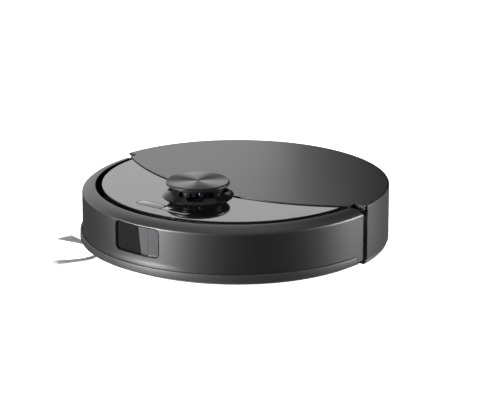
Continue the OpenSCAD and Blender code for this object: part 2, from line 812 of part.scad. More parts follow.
// Gearbox arm that carries one wheel on a stub axle and swings on a pin in the housing
module wheel_arm(s) mirror([s < 0 ? 1 : 0, 0, 0]) {
    x0 = well_in + arm_gap;
    translate([x0, wheel_y, wheel_r]) rotate([0, 90, 0]) cylinder(r = 20, h = arm_t);
    translate([x0, arm_pivot_y, arm_pivot_z]) rotate([0, 90, 0]) cylinder(r = 9, h = arm_t);
    translate([x0, arm_pivot_y, arm_pivot_z - 9]) cube([arm_t, wheel_y - arm_pivot_y, 15]);
    translate([x0 - 3.8, arm_pivot_y, arm_pivot_z]) rotate([0, 90, 0]) cylinder(r = arm_pin_r, h = 5);
    translate([x0, wheel_y, wheel_r]) rotate([0, 90, 0])
        cylinder(r = axle_r, h = wheel_x + wheel_w / 2 - x0 - 1);
}

module wheel_arm_left() color([0.16, 0.16, 0.17]) wheel_arm(1);
module wheel_arm_right() color([0.16, 0.16, 0.17]) wheel_arm(-1);

module wheel_hub(s) translate([s * wheel_x, wheel_y, wheel_r]) rotate([0, 90, 0]) difference() {
    rim = wheel_r - 7;
    union() {
        cylinder(r = rim, h = wheel_w - 6, center = true);
        cylinder(r = axle_r + 3, h = wheel_w - 2, center = true);
    }
    cylinder(r = axle_r + running, h = wheel_w, center = true);
    for (a = [0 : 72 : 288]) rotate([0, 0, a]) translate([rim * 0.6, 0, 0])
        cylinder(r = 5, h = wheel_w, center = true);
}

module wheel_hub_left() color([0.30, 0.30, 0.31]) wheel_hub(1);
module wheel_hub_right() color([0.30, 0.30, 0.31]) wheel_hub(-1);

module tyre(s) translate([s * wheel_x, wheel_y, wheel_r]) rotate([0, 90, 0]) difference() {
    cylinder(r = wheel_r, h = wheel_w, center = true);
    cylinder(r = wheel_r - 7, h = wheel_w + 1, center = true);
    for (a = [0 : 15 : 345], row = [-1, 1])
        rotate([0, 0, a + 3.75 * row]) translate([wheel_r, 0, row * wheel_w / 4])
            cube([3, 3, wheel_w / 2 - 2], center = true);
}

module tyre_left() color([0.05, 0.05, 0.05]) tyre(1);
module tyre_right() color([0.05, 0.05, 0.05]) tyre(-1);

// ---------- caster ----------

caster_w = 15;
caster_trail = 5;
caster_clear = 2;
caster_reach = caster_trail + caster_r + caster_clear;
caster_cup_r = caster_reach + 4;
caster_top = 2 * caster_r + caster_clear;
caster_stem_r = 3.5;
caster_axle_r = 2;

module caster_cup() color([0.09, 0.09, 0.1]) {
    translate([0, caster_y, ground_gap]) difference() {
        union() {
            cylinder(r = caster_cup_r, h = caster_top + 6 - ground_gap);
            cylinder(r = 8, h = caster_top + 18 - ground_gap);
        }
        translate([0, 0, -eps]) cylinder(r = caster_cup_r - 2, h = caster_top + 4 - ground_gap);
        cylinder(r = caster_stem_r + running, h = caster_top + 16 - ground_gap);
    }
}

module caster_fork() color([0.22, 0.22, 0.23]) {
    cheek = 3;
    cheek_in = caster_w / 2 + moving_gap;
    translate([0, caster_y, 0]) {
        intersection() {
            union() {
                translate([0, 0, caster_top]) cylinder(r = caster_reach + 1, h = 3);
                for (s = [-1, 1]) translate([s > 0 ? cheek_in : -cheek_in - cheek, 0, 0]) {
                    translate([0, caster_trail, caster_r]) rotate([0, 90, 0]) cylinder(r = 6, h = cheek);
                    translate([0, caster_trail - 6, caster_r]) cube([cheek, 12, caster_top - caster_r + 1]);
                }
            }
            cylinder(r = caster_reach + 1, h = 100);
        }
        translate([0, 0, caster_top + 2]) cylinder(r = caster_stem_r, h = 12);
        translate([-cheek_in - 1, caster_trail, caster_r]) rotate([0, 90, 0])
            cylinder(r = caster_axle_r, h = 2 * cheek_in + 2);
    }
}

module caster_wheel() color([0.75, 0.75, 0.75]) {
    edge = 1.5;
    translate([0, caster_y + caster_trail, caster_r]) rotate([0, 90, 0]) rotate_extrude() polygon([
        [caster_axle_r + running, -caster_w / 2],
        [caster_r - edge, -caster_w / 2],
        [caster_r, -caster_w / 2 + edge],
        [caster_r, caster_w / 2 - edge],
        [caster_r - edge, caster_w / 2],
        [caster_axle_r + running, caster_w / 2]
    ]);
}

// ---------- dustbin ----------

bin_skin = 2;
bin_seat = bin_top - 3;      // where the cover rests on the box
filter_low = bin_bottom + 14;
filter_high = bin_seat - 8;
filter_side = 18;            // from the box's side to the filter

module dustbin() color([0.30, 0.31, 0.33]) {
    difference() {
        block(-bin_w / 2, bin_w / 2, bin_front, bin_back, bin_bottom, bin_seat, 6);
        block(-bin_w / 2 + bin_skin, bin_w / 2 - bin_skin, bin_front + bin_skin, bin_back - bin_skin,
              bin_bottom + bin_skin, bin_seat + 1, 4);
        translate([-duct_w / 2, bin_front - 1, duct_low]) cube([duct_w, 6, duct_high - duct_low]);
        translate([-bin_w / 2 + filter_side, bin_back - 6, filter_low])
            cube([bin_w - 2 * filter_side, 10, filter_high - filter_low]);
    }
}

module dustbin_cover() color([0.13, 0.13, 0.14]) {
    difference() {
        block(-bin_w / 2, bin_w / 2, bin_front, bin_back, bin_seat, bin_top, 6);
        block(-24, 24, bin_front + 20, bin_front + 42, bin_seat + 1.2, bin_top + 1, 8);
    }
    translate([-22, bin_front + 28, bin_seat + 1]) cube([44, 5, 2]);
}

module dust_filter() color([0.85, 0.85, 0.82]) {
    pleats = 16;
    low = filter_low + fit_gap;
    high = filter_high - fit_gap;
    width = bin_w - 2 * filter_side - 2 * fit_gap;
    translate([-width / 2, bin_back - bin_skin, low]) cube([width, bin_skin, high - low]);
    for (i = [0 : pleats - 1])
        translate([-width / 2 + 2 + i * (width - 6) / (pleats - 1), bin_back - 10, low + 1])
            cube([2.4, 8.5, high - low - 2]);
}

// Rubber collar between the brush housing's duct and the dustbin
module dust_seal() color([0.06, 0.06, 0.06]) {
    difference() {
        translate([-duct_w / 2 - 3, bay_back, duct_low - 3])
            cube([duct_w + 6, bin_front - bay_back - moving_gap, duct_high - duct_low + 6]);
        translate([-duct_w / 2, bay_back - 1, duct_low]) cube([duct_w, 20, duct_high - duct_low]);
    }
}

// ---------- suction fan ----------

fan_low = base_top + 5;
fan_top = fan_low + 34;
fan_shaft_r = 2;
fan_motor_r = 11;

module fan_housing() color([0.12, 0.12, 0.13]) {
    skin = 2.5;
    translate([fan_x, fan_y, 0]) difference() {
        union() {
            translate([0, 0, fan_low]) cylinder(r = fan_r, h = fan_top - fan_low);
            translate([-15, -fan_r - 3, fan_low + 6]) cube([30, 20, 18]);
        }
        translate([0, 0, fan_low + skin]) cylinder(r = fan_r - skin, h = fan_top - fan_low - 2 * skin);
        translate([-13, -fan_r - 4, fan_low + 8]) cube([26, 24, 14]);
        translate([0, 0, fan_low - 1]) cylinder(r = fan_motor_r + fit_gap, h = 10);
    }
}

module fan_impeller() color([0.78, 0.78, 0.8]) {
    blade_r = fan_r - 6;
    translate([fan_x, fan_y, fan_low + 17]) {
        difference() {
            union() {
                cylinder(r = blade_r, h = 1.6);
                cylinder(r1 = 9, r2 = 5, h = 11);
                for (a = [0 : 40 : 320]) rotate([0, 0, a])
                    translate([6, -0.7, 1]) cube([blade_r - 7, 1.4, 9]);
            }
            translate([0, 0, -1]) cylinder(r = fan_shaft_r + running, h = 9);
        }
    }
}

module fan_motor() color([0.45, 0.45, 0.48]) {
    translate([fan_x, fan_y, 0]) {
        translate([0, 0, fan_low - 2]) cylinder(r = fan_motor_r, h = 17.5);
        translate([0, 0, fan_low + 15]) cylinder(r = fan_shaft_r, h = 9);
    }
}

// ---------- electrics ----------

module battery() color([0.10, 0.14, 0.22]) {
    block(-71, 71, caster_y + caster_cup_r + 1, bay_front - 4, base_top + 1, lidar_floor - 10, 3);
}

module main_board() color([0.07, 0.28, 0.16]) {
    z = deck_bottom - 12;
    difference() {
        block(4, 84, bin_back + 8, bin_back + 56, z, z + 1.6, 3);
        for (x = [10, 78], y = [bin_back + 14, bin_back + 50])
            translate([x, y, z - 1]) cylinder(r = 1.6, h = 4);
    }
    block(30, 48, bin_back + 22, bin_back + 40, z + 1.6, z + 3.4, 1);
    block(56, 70, bin_back + 20, bin_back + 30, z + 1.6, z + 5, 1);
    for (i = [0 : 3]) translate([14 + 5 * i, bin_back + 32, z + 1.6]) cylinder(r = 2, h = 7);
}

module speaker() color([0.18, 0.18, 0.19]) {
    translate([114, 84, base_top + 4]) difference() {
        union() {
            cylinder(r = 16, h = 3);
            cylinder(r1 = 13, r2 = 9, h = 10);
            cylinder(r = 9, h = 15);
        }
        translate([0, 0, -1]) cylinder(r = 12, h = 2.4);
    }
}

// ---------- rear ----------

contact_z = shell_bottom + 17;

// Black insert, flush with the shell, with a flat pocket for each contact and a receiver window
module contact_block() color([0.05, 0.05, 0.055]) {
    difference() {
        intersection() {
            translate([0, shell_r + 20, contact_z]) rotate([90, 0, 0]) linear_extrude(60)
                rounded_rect(contact_w - 2 * fit_gap, contact_h - 2 * fit_gap, 4);
            at_body() ring(shell_r - 0.4, shell_r - 12, lid_top);
        }
        for (s = [-1, 1]) translate([s * contact_x, contact_y + 20, contact_z]) rotate([90, 0, 0])
            linear_extrude(22) rounded_rect(contact_plate_w, contact_plate_h, 2);
        translate([0, shell_y + shell_r - 3, contact_z]) rotate([-90, 0, 0]) cylinder(r = 5, h = 10);
    }
}

module charging_contacts() color([0.80, 0.78, 0.72]) {
    for (s = [-1, 1]) translate([s * contact_x, contact_y, contact_z]) rotate([90, 0, 0])
        linear_extrude(2) rounded_rect(contact_plate_w - 2 * fit_gap, contact_plate_h - 2 * fit_gap, 2);
}

vent_angle = 51.3;
vent_w = 34;

// Two slots, one above the other, on the rear quarter
module vent_cut(grow) {
    for (z = [shell_bottom + 4, shell_bottom + 17])
        translate([0, -shell_r, z]) rotate([90, 0, 0]) linear_extrude(40, center = true)
            rounded_rect(vent_w + 2 * grow, 6.4 + 2 * grow, 2.5);
}

module exhaust_vents() color([0.02, 0.02, 0.022]) {
    for (s = [-1, 1]) at_body() towards(180 + s * vent_angle) difference() {
        intersection() {
            vent_cut(0);
            translate([0, 0, shell_bottom]) ring(shell_r - 1.4, shell_r - 4.4, 40);
        }
        for (i = [-4 : 4]) translate([i * 3.4, -shell_r, shell_bottom])
            cube([1.6, 30, 60], center = true);
    }
}

// ---------- underside ----------

cliff_angles = [-62, -22, 22, 62];
cliff_r = front_wall_r - wall - 8;
cliff_w = 18;
cliff_d = 10;

module cliff_sensors() color([0.04, 0.02, 0.03]) {
    for (a = cliff_angles) at_body() towards(a) translate([0, -cliff_r, 0])
        block(-cliff_w / 2, cliff_w / 2, -cliff_d / 2, cliff_d / 2, ground_gap - 0.4, base_top + 6, 2);
}

screw_places = [
    [-128, 66], [128, 66], [-150, -26], [150, -26], [-76, -112], [76, -112], [-40, 150], [40, 150]
];

screw_r = 1.5;

module base_screws() color([0.45, 0.45, 0.46]) {
    for (p = screw_places) translate([p[0], p[1], ground_gap - 1.2]) difference() {
        union() {
            cylinder(r = 3, h = 1.2);
            cylinder(r = screw_r, h = 9);
        }
        for (a = [0, 90]) rotate([0, 0, a]) cube([3.6, 0.8, 1.4], center = true);
    }
}

// ---------- one node at a time, or all ----------

chassis();
rear_shell();
deck();
front_panel();
lid();
bumper();
bumper_lip();
window_frame();
window_glass();
bumper_switches();
camera_module();
camera_lens();
line_lasers();
turret_skirt();
turret_posts();
turret_cap();
lidar_base();
lidar_head();
lidar_lens();
lidar_motor();
lidar_motor_pulley();
lidar_belt();
button_left();
button_right();
button_board();
brush_housing();
brush_guard();
brush_bearings();
main_brush_core();
main_brush_fins();
main_brush_motor();
side_brush_motor();
side_brush_hub();
side_brush_bundles();
wheel_housings();
wheel_arm_left();
wheel_hub_left();
tyre_left();
wheel_arm_right();
wheel_hub_right();
tyre_right();
caster_cup();
caster_fork();
caster_wheel();
dustbin();
dustbin_cover();
dust_filter();
dust_seal();
fan_housing();
fan_impeller();
fan_motor();
battery();
main_board();
speaker();
contact_block();
charging_contacts();
exhaust_vents();
cliff_sensors();
base_screws();
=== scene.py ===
"""Looks of a round robot vacuum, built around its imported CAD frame.

Lengths are metres, written as millimetres times MM. The robot faces -Y and stands on z = 0.
"""

import json
import math
import random

import bmesh
import bpy
from mathutils import Matrix, Vector


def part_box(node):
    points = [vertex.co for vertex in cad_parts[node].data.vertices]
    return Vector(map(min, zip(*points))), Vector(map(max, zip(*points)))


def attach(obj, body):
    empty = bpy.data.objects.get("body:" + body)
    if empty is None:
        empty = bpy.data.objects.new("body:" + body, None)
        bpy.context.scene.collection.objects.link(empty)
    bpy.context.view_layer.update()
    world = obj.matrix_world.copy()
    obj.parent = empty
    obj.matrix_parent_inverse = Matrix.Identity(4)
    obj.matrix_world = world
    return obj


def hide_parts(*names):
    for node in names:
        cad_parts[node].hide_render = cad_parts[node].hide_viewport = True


MM = 0.001
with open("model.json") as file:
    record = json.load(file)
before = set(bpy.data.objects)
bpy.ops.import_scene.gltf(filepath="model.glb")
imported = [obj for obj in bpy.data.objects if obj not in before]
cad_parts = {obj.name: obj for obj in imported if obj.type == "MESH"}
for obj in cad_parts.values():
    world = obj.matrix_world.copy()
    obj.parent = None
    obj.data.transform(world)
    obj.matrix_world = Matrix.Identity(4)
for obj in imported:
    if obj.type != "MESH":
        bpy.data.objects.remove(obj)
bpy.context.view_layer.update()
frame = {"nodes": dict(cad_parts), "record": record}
nodes = frame["nodes"]

# ---------- sizes from the frame ----------

bumper_lo, bumper_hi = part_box("bumper")
lip_lo, lip_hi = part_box("bumper_lip")
cap_lo, cap_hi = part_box("turret_cap")
skirt_lo, skirt_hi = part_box("turret_skirt")

BUMPER_R = bumper_hi.x
BUMPER_Y = bumper_lo.y + BUMPER_R
BUMPER_TOP = bumper_hi.z
BUMPER_END = 92.8        # where the bumper ends on each side, in degrees from straight ahead
BUMPER_WALL = 3 * MM
RIM_W = 15.2 * MM        # from the bumper's face to the inner edge of its crowned rim
TURRET_Y = (cap_lo.y + cap_hi.y) / 2
CAP_R = (cap_hi.x - cap_lo.x) / 2
PANEL_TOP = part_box("front_panel")[1].z
WINDOW_W = 62.6 * MM
WINDOW_H = 34 * MM
WINDOW_Z = 53.2 * MM
WINDOW_CORNER = 6 * MM
VIEW_ANGLE = 38.7        # from straight ahead to the camera, in degrees
HEADING = math.radians(VIEW_ANGLE - 0.308)      # which way the camera looks, just beside the centre


# ---------- materials ----------

def material(name):
    """A new material, and its Principled shader."""
    mat = bpy.data.materials.new(name)
    mat.use_nodes = True
    return mat, mat.node_tree.nodes["Principled BSDF"]


def link(mat, out, into):
    mat.node_tree.links.new(out, into)


def node(mat, kind, **settings):
    made = mat.node_tree.nodes.new(kind)
    for key, value in settings.items():
        setattr(made, key, value)
    return made


def noise(mat, scale, detail=4, rough=0.6, stretch=(1, 1, 1)):
    """Noise that sits in the object's own space, in 1/m."""
    place = node(mat, "ShaderNodeTexCoord")
    mapped = node(mat, "ShaderNodeMapping")
    mapped.inputs["Scale"].default_value = stretch
    made = node(mat, "ShaderNodeTexNoise")
    made.inputs["Scale"].default_value = scale
    made.inputs["Detail"].default_value = detail
    made.inputs["Roughness"].default_value = rough
    link(mat, place.outputs["Object"], mapped.inputs["Vector"])
    link(mat, mapped.outputs["Vector"], made.inputs["Vector"])
    return made.outputs["Fac"]


def spread(mat, fac, low, high):
    """A value between low and high that follows fac."""
    made = node(mat, "ShaderNodeMapRange")
    made.inputs["From Min"].default_value = 0.3
    made.inputs["From Max"].default_value = 0.7
    made.inputs["To Min"].default_value = low
    made.inputs["To Max"].default_value = high
    link(mat, fac, made.inputs["Value"])
    return made.outputs["Result"]


def tint(mat, fac, dark, light):
    made = node(mat, "ShaderNodeValToRGB")
    made.color_ramp.elements[0].position = 0.3
    made.color_ramp.elements[0].color = (*dark, 1)
    made.color_ramp.elements[1].position = 0.7
    made.color_ramp.elements[1].color = (*light, 1)
    link(mat, fac, made.inputs["Fac"])
    return made.outputs["Color"]


def bump(mat, fac, strength, depth):
    made = node(mat, "ShaderNodeBump")
    made.inputs["Strength"].default_value = strength
    made.inputs["Distance"].default_value = depth
    link(mat, fac, made.inputs["Height"])
    return made.outputs["Normal"]


def plastic(name, colour, rough, grain=1800, depth=0.02 * MM, spec=0.5, vary=0.12, wander=0.05):
    """Moulded plastic: fine grain, faint cloudiness in its colour and its gloss."""
    mat, skin = material(name)
    cloud = noise(mat, 28, 5)
    fine = noise(mat, grain, 3)
    dark = tuple(c * (1 - vary) for c in colour)
    light = tuple(c * (1 + vary) for c in colour)
    link(mat, tint(mat, cloud, dark, light), skin.inputs["Base Color"])
    link(mat, spread(mat, fine, rough - wander, rough + wander), skin.inputs["Roughness"])
    link(mat, bump(mat, fine, 0.35, depth), skin.inputs["Normal"])
    skin.inputs["Specular IOR Level"].default_value = spec
    return mat


def gloss(name, colour, rough, ior=1.5, spec=0.5):
    """Polished plastic with a faint haze in its gloss."""
    mat, skin = material(name)
    haze = noise(mat, 90, 6, 0.7)
    link(mat, tint(mat, noise(mat, 20, 3), tuple(c * 0.85 for c in colour), colour),
         skin.inputs["Base Color"])
    link(mat, spread(mat, haze, rough, rough + 0.02), skin.inputs["Roughness"])
    skin.inputs["IOR"].default_value = ior
    skin.inputs["Specular IOR Level"].default_value = spec
    return mat


def metal(name, colour, rough, stretch=(1, 1, 1), scale=900, depth=0.01 * MM):
    """Machined or drawn metal with grain along one way."""
    mat, skin = material(name)
    grain = noise(mat, scale, 3, 0.6, stretch)
    dark = tuple(c * 0.85 for c in colour)
    link(mat, tint(mat, grain, dark, colour), skin.inputs["Base Color"])
    link(mat, spread(mat, grain, rough * 0.8, rough * 1.2), skin.inputs["Roughness"])
    link(mat, bump(mat, grain, 0.3, depth), skin.inputs["Normal"])
    skin.inputs["Metallic"].default_value = 1
    return mat


def maths(mat, operation, *values):
    """A maths node fed with sockets or plain numbers."""
    made = node(mat, "ShaderNodeMath", operation=operation)
    for socket, value in zip(made.inputs, values):
        if isinstance(value, (int, float)):
            socket.default_value = value
        else:
            link(mat, value, socket)
    return made.outputs[0]


def spun_metal_painted_sheen(name, colour):
    """Metal turned on a lathe: fine rings, and painted highlights: its specular level comes and goes round
    the axis in fixed lobes.
    """
    # painted highlights: how many lobes round the axis, and where the first one sits
    lobes = 3.0
    first_painted_lobe = math.radians(18.4)
    focus = 2.2              # the higher, the narrower the lobes
    mat, skin = material(name)
    place = node(mat, "ShaderNodeTexCoord")
    split = node(mat, "ShaderNodeSeparateXYZ")
    link(mat, place.outputs["Object"], split.inputs["Vector"])
    x = split.outputs["X"]
    y = maths(mat, "SUBTRACT", split.outputs["Y"], TURRET_Y)
    square = maths(mat, "ADD", maths(mat, "MULTIPLY", x, x), maths(mat, "MULTIPLY", y, y))
    reach = maths(mat, "SQRT", square)
    turn = maths(mat, "SUBTRACT", maths(mat, "ARCTAN2", y, x), first_painted_lobe)
    swing = maths(mat, "COSINE", maths(mat, "MULTIPLY", turn, lobes))
    painted_highlight = maths(mat, "POWER", maths(mat, "MULTIPLY_ADD", swing, 0.5, 0.5), focus)
    rings = node(mat, "ShaderNodeTexNoise", noise_dimensions="1D")
    rings.inputs["Scale"].default_value = 4200
    rings.inputs["Detail"].default_value = 2
    link(mat, reach, rings.inputs["W"])
    fac = rings.outputs["Fac"]
    painted_highlight_rings = maths(mat, "MULTIPLY", painted_highlight, maths(mat, "MULTIPLY_ADD", fac, 0.5, 0.75))
    # painted highlight: the specular level follows the fixed lobes round the axis
    link(mat, maths(mat, "MULTIPLY_ADD", painted_highlight_rings, 0.5, 0.02), skin.inputs["Specular IOR Level"])
    link(mat, tint(mat, fac, tuple(c * 0.8 for c in colour), colour), skin.inputs["Base Color"])
    link(mat, spread(mat, fac, 0.3, 0.38), skin.inputs["Roughness"])
    link(mat, bump(mat, fac, 0.2, 0.01 * MM), skin.inputs["Normal"])
    return mat


def smoked_glass_painted_reflection(name, colour):
    """Dark window glass, with a painted reflection: its right part, past a slanted line, is painted
    lighter.
    """
    # the lighter colour painted on the glass's right part as a reflection, and where it starts
    painted_reflection_colour = (0.035, 0.035, 0.0365, 1)
    painted_reflection_edge = 10.2 * MM
    softness = 0.7 * MM
    lean = 0.12
    mat, skin = material(name)
    place = node(mat, "ShaderNodeTexCoord")
    split = node(mat, "ShaderNodeSeparateXYZ")
    link(mat, place.outputs["Object"], split.inputs["Vector"])
    across = maths(mat, "MULTIPLY_ADD", split.outputs["Z"], lean, split.outputs["X"])
    edge = node(mat, "ShaderNodeMapRange")
    edge.inputs["From Min"].default_value = painted_reflection_edge
    edge.inputs["From Max"].default_value = painted_reflection_edge + softness
    link(mat, across, edge.inputs["Value"])
    # blends from the glass's own colour into the painted reflection
    ramp = node(mat, "ShaderNodeValToRGB")
    ramp.color_ramp.elements[0].color = (*colour, 1)
    ramp.color_ramp.elements[1].color = painted_reflection_colour
    link(mat, edge.outputs["Result"], ramp.inputs["Fac"])
    link(mat, ramp.outputs["Color"], skin.inputs["Base Color"])
    link(mat, spread(mat, noise(mat, 120, 5), 0.05, 0.09), skin.inputs["Roughness"])
    return mat


# name, kind of finish, and that kind's own settings: colour, roughness and so on
FINISHES = (
    ("chassis_plastic", plastic, (0.018, 0.018, 0.02), 0.55, 1400, 0.05 * MM),
    ("shell_plastic", plastic, (0.012, 0.012, 0.0122), 0.47, 2600, 0.012 * MM, 0.32),
    ("lid_plastic", plastic, (0.004, 0.004, 0.0041), 0.37, 3200, 0.01 * MM, 0.36, 0.06, 0.02),
    ("panel_gloss", gloss, (0.004, 0.004, 0.0042), 0.03, 1.5),
    ("bumper_plastic", plastic, (0.002, 0.00205, 0.0022), 0.46, 2600, 0.008 * MM, 0.5, 0.06, 0.02),
    ("lip_rubber", plastic, (0.008, 0.008, 0.0083), 0.5, 2200, 0.015 * MM, 0.45),
    ("black_gloss", gloss, (0.004, 0.004, 0.0042), 0.2, 1.45, 0.12),
    # the window glass carries a painted reflection on its right part
    ("window_glass", smoked_glass_painted_reflection, (0.005, 0.005, 0.0052)),
    ("lens_glass", gloss, (0.006, 0.006, 0.009), 0.16, 1.45, 0.1),
    # the cap's metal carries painted highlights in fixed lobes round its axis
    ("cap_metal", spun_metal_painted_sheen, (0.008, 0.008, 0.0083)),
    ("inner_plastic", plastic, (0.022, 0.022, 0.024), 0.5, 1500, 0.04 * MM),
    ("motor_steel", metal, (0.45, 0.45, 0.47), 0.32, (1, 1, 8)),
    ("brass", metal, (0.7, 0.55, 0.3), 0.28),
    ("board_green", gloss, (0.02, 0.12, 0.055), 0.25),
    ("guard_plastic", plastic, (0.32, 0.07, 0.028), 0.42, 1500, 0.03 * MM),
    ("brush_rubber", plastic, (0.30, 0.065, 0.03), 0.6, 900, 0.05 * MM),
    ("bristle", plastic, (0.20, 0.195, 0.195), 0.5, 900, 0.01 * MM),
    ("hub_plastic", plastic, (0.07, 0.07, 0.073), 0.45, 1500, 0.03 * MM),
    ("tyre_rubber", plastic, (0.018, 0.018, 0.018), 0.75, 1300, 0.06 * MM, 0.35),
    ("caster_plastic", plastic, (0.5, 0.5, 0.5), 0.4, 1200, 0.03 * MM),
    ("bin_plastic", gloss, (0.10, 0.11, 0.125), 0.14),
    ("filter_paper", plastic, (0.7, 0.7, 0.67), 0.9, 700, 0.08 * MM, 0.2),
    ("seal_rubber", plastic, (0.02, 0.02, 0.02), 0.7, 1200, 0.04 * MM, 0.35),
    ("impeller_plastic", plastic, (0.55, 0.55, 0.57), 0.3, 1200, 0.02 * MM),
    ("battery_wrap", plastic, (0.025, 0.05, 0.11), 0.25, 300, 0.03 * MM),
    ("contact_metal", metal, (0.75, 0.72, 0.64), 0.22, (1, 1, 10)),
    ("screw_steel", metal, (0.4, 0.4, 0.42), 0.3),
)
MATS = {name: kind(name, *settings) for name, kind, *settings in FINISHES}

for part in frame["record"]["subparts"]:
    shown = nodes[part["node"]]
    shown.data.materials.clear()
    shown.data.materials.append(MATS[part["material_slot"]])


# ---------- mesh helpers ----------

def arc(cx, cz, r, a0, a1, n):
    """Points of an arc, in degrees."""
    return [(cx + r * math.cos(math.radians(a0 + (a1 - a0) * i / n)),
             cz + r * math.sin(math.radians(a0 + (a1 - a0) * i / n))) for i in range(n + 1)]


def tube(rows, n, first=0):
    """Faces that join rows of n points, counted on from first, into a tube with closed ends."""
    faces = []
    for i in range(rows - 1):
        a = first + i * n
        faces += [(a + k, a + (k + 1) % n, a + n + (k + 1) % n, a + n + k) for k in range(n)]
    last = first + (rows - 1) * n
    return faces + [tuple(range(first, first + n)), tuple(reversed(range(last, last + n)))]


def join(verts, faces, more_verts, more_faces):
    """Adds one mesh's points and faces to another's."""
    faces += [tuple(i + len(verts) for i in face) for face in more_faces]
    verts += more_verts


def outward(mesh, weld=False):
    """Turns all faces outward, and welds points that coincide if asked."""
    work = bmesh.new()
    work.from_mesh(mesh)
    if weld:
        bmesh.ops.remove_doubles(work, verts=work.verts, dist=1e-6)
    bmesh.ops.recalc_face_normals(work, faces=work.faces)
    work.to_mesh(mesh)
    work.free()


def piece(name, verts, faces, slot, body, replaces=(), sharp=35):
    """A named mesh that rides on a body, shaded smooth except at sharp edges."""
    mesh = bpy.data.meshes.new(name)
    mesh.from_pydata(verts, [], faces)
    outward(mesh, weld=True)
    mesh.materials.append(MATS[slot])
    obj = bpy.data.objects.new(name, mesh)
    bpy.context.scene.collection.objects.link(obj)
    smooth(obj, sharp)
    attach(obj, body)
    if replaces:
        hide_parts(*replaces)
    return obj


def smooth(obj, sharp):
    """Smooth shading, with edges sharper than an angle in degrees kept crisp."""
    obj.data.shade_smooth()
    obj.data.set_sharp_from_angle(angle=math.radians(sharp))


def lathe(outline, centre, steps=128, start=0.0, sweep=360.0):
    """Turns a closed outline of (radius, height) about an upright axis. Degrees run from -Y to +X."""
    whole = sweep == 360
    rows = steps if whole else steps + 1
    verts, n = [], len(outline)
    for i in range(rows):
        a = math.radians(start + sweep * i / steps)
        verts += [(centre[0] + r * math.sin(a), centre[1] - r * math.cos(a), z) for r, z in outline]
    faces = tube(rows, n)
    if whole:
        last = (rows - 1) * n
        faces[-2:] = [(last + k, last + (k + 1) % n, (k + 1) % n, k) for k in range(n)]
    return verts, faces


def rounded_prism(w, h, r, z, y0, y1, steps=8, x=0.0):
    """A prism along Y with a rounded rectangle as its section."""
    ring = []
    for cx, cz, a in ((w / 2 - r, h / 2 - r, 0), (-w / 2 + r, h / 2 - r, 90),
                      (-w / 2 + r, -h / 2 + r, 180), (w / 2 - r, -h / 2 + r, 270)):
        ring += arc(cx + x, cz + z, r, a, a + 90, steps)
    verts = [(px, y0, pz) for px, pz in ring] + [(px, y1, pz) for px, pz in ring]
    return verts, tube(2, len(ring))


def scratch(verts, faces):
    """A throwaway object, for cutting with."""
    mesh = bpy.data.meshes.new("scratch")
    mesh.from_pydata(verts, [], faces)
    outward(mesh)
    obj = bpy.data.objects.new("scratch", mesh)
    bpy.context.scene.collection.objects.link(obj)
    return obj


def carve(obj, cutter, operation="DIFFERENCE", sharp=35):
    """Cuts obj with a throwaway object and applies the result."""
    cut = obj.modifiers.new("cut", "BOOLEAN")
    cut.operation = operation
    cut.solver = "EXACT"
    cut.object = cutter
    seen = bpy.context.evaluated_depsgraph_get()
    mesh = bpy.data.meshes.new_from_object(obj.evaluated_get(seen))
    obj.modifiers.clear()
    obj.data = mesh
    bpy.data.objects.remove(cutter)
    smooth(obj, sharp)


def ease(x, a, b):
    """0 before a, 1 after b, smooth between."""
    t = min(max((x - a) / (b - a), 0.0), 1.0)
    return t * t * (3 - 2 * t)


# ---------- bumper ----------

CROWN_LEAN = 45          # how far the crown turns down before the shoulder, in degrees
SHOULDER = 3 * MM        # radius between the crown and the face
CROWN_EDGE = 0.6 * MM    # radius of the thin inner edge
CROWN_RUN = RIM_W - CROWN_EDGE - SHOULDER * (1 - math.sin(math.radians(CROWN_LEAN)))
CROWN_R = CROWN_RUN / math.sin(math.radians(CROWN_LEAN))
CROWN_DROP = CROWN_R * (1 - math.cos(math.radians(CROWN_LEAN)))
FACE_TOP = BUMPER_TOP - CROWN_DROP - SHOULDER * math.cos(math.radians(CROWN_LEAN))
END_ROUND = 7 * MM       # at the upper corner of each end
CUT_FROM = -400 * MM     # where prisms that cut the front start, well ahead of it


def crown_points():
    """The crowned rim from the shoulder to the thin inner edge, as (radius, height)."""
    inner = BUMPER_R - RIM_W
    turn = 90 - CROWN_LEAN
    points = arc(BUMPER_R - SHOULDER, FACE_TOP, SHOULDER, 0, turn, 10)
    points += arc(inner + CROWN_EDGE, BUMPER_TOP - CROWN_R, CROWN_R, turn, 90, 16)[1:]
    points += arc(inner + CROWN_EDGE, BUMPER_TOP - CROWN_EDGE, CROWN_EDGE, 90, 180, 4)[1:]
    return points


def sill(angle, z):
    """How far the face steps out below the window, by angle in degrees and height."""
    line = 31 * MM - 3.4 * MM * ease(-angle, 9, 28) - 2.5 * MM * ease(angle, 9, 26)
    step = 0.4 * MM * ease(angle, -36, -26) * (1 - ease(angle, 8, 27))
    return step * ease(line - z, 0, 3 * MM)


def bumper_outline():
    """The bumper's section as (radius, height): inner foot, face, crown and the hollow behind it."""
    bottom = bumper_lo.z
    face_rows = 26
    inner = BUMPER_R - RIM_W
    outline = [(BUMPER_R - BUMPER_WALL, bottom)]
    outline += [(BUMPER_R, bottom + (FACE_TOP - bottom) * i / face_rows) for i in range(face_rows)]
    outline += crown_points()
    outline += [(inner, BUMPER_TOP - 3 * MM), (inner + 2.5 * MM, BUMPER_TOP - 4 * MM),
                (BUMPER_R - BUMPER_WALL, BUMPER_TOP - 13 * MM)]
    return outline


